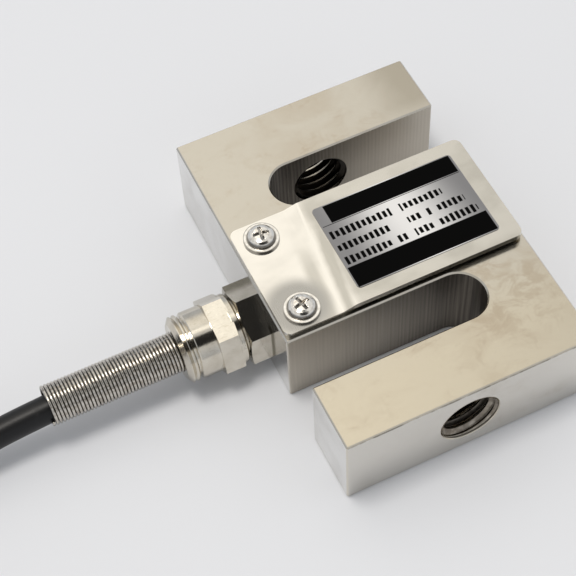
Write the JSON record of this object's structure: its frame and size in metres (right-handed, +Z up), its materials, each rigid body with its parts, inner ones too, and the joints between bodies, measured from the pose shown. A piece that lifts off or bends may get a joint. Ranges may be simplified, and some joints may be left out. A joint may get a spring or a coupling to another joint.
{
  "type": "s type load cell",
  "caption": "S-shaped tension and compression load cell with threaded ends, a screwed cover, and a shielded cable in a gland with a coiled guard.",
  "frame": {"origin": "centre of the beam's lower face, on which the load cell lies", "axes": "+Y along the load axis through both threaded holes, +X across the beam away from the cable, +Z up through the beam to the cover"},
  "size_m": [0.2252, 0.0984, 0.0223],
  "materials": {
    "beam_nickel": "satin electroless nickel on ground alloy steel",
    "cover_steel": "satin nickel on folded sheet",
    "label_foil": "printed metallised film",
    "screw_steel": "bright nickel",
    "washer_steel": "bright zinc",
    "gland_nickel": "nickel plated, bright",
    "seal_rubber": "moulded",
    "clamp_plastic": "moulded polyamide",
    "spring_steel": "bright drawn stainless wire",
    "jacket_black": "satin extruded jacket",
    "tie_white": "polyamide band",
    "sleeve_black": "heat shrink tube",
    "lead_red": "insulation",
    "lead_black": "insulation",
    "lead_green": "insulation",
    "lead_white": "insulation",
    "drain_clear": "sleeved tinned drain wire",
    "gauge_film": "polyimide film with foil grid",
    "board_green": "solder-masked glass epoxy",
    "resistor_black": "chip resistor",
    "potting_silicone": "silicone compound"
  },
  "bodies": {
    "root": {"beam_body": "beam_nickel", "cover_plate": "cover_steel", "rating_label": "label_foil", "cover_screw_1": "screw_steel", "cover_screw_2": "screw_steel", "screw_washer_1": "washer_steel", "screw_washer_2": "washer_steel", "gland_body": "gland_nickel", "gland_nut": "gland_nickel", "sealing_ring": "seal_rubber", "gland_seal": "seal_rubber", "clamp_ring": "clamp_plastic", "guard_spring": "spring_steel", "cable": "jacket_black", "cable_coil": "jacket_black", "coil_tie_1": "tie_white", "coil_tie_2": "tie_white", "cable_end_sleeve": "sleeve_black", "lead_red": "lead_red", "lead_black": "lead_black", "lead_green": "lead_green", "lead_white": "lead_white", "shield_drain": "drain_clear", "strain_gauge_1": "gauge_film", "strain_gauge_2": "gauge_film", "strain_gauge_3": "gauge_film", "strain_gauge_4": "gauge_film", "terminal_board": "board_green", "balance_resistor": "resistor_black", "core_red": "lead_red", "core_black": "lead_black", "core_green": "lead_green", "core_white": "lead_white", "front_potting": "potting_silicone", "rear_potting": "potting_silicone"}
  },
  "joints": []
}
